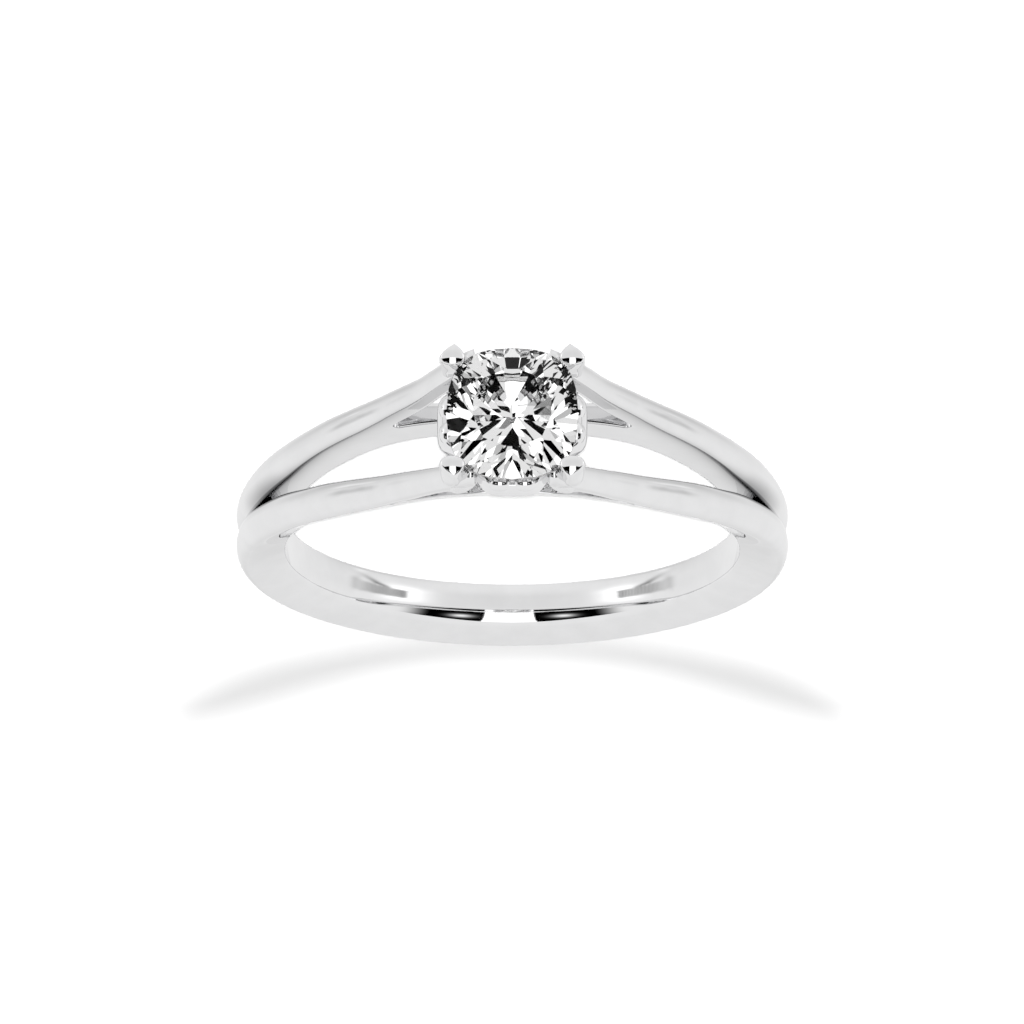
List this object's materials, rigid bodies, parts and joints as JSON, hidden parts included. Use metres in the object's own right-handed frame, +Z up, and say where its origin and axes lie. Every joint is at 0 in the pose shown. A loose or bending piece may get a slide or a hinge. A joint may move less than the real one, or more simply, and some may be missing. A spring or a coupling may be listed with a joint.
{
  "type": "split shank ring",
  "caption": "Finger ring in white metal whose band splits into two strands at each shoulder and rises to a four-claw basket with a cushion-cut stone.",
  "frame": {"origin": "middle of the bounding box, on the surface the ring lies on", "axes": "-Y towards the head with the stone, X across the hand, Z up from the surface; the finger's axis leans 4.09 degrees from Z towards +Y"},
  "size_m": [0.021, 0.0252, 0.0057],
  "materials": {
    "white_metal": "polished",
    "stone": "faceted and polished"
  },
  "bodies": {
    "root": {"ring_setting": "white_metal", "centre_stone": "stone"}
  },
  "joints": []
}
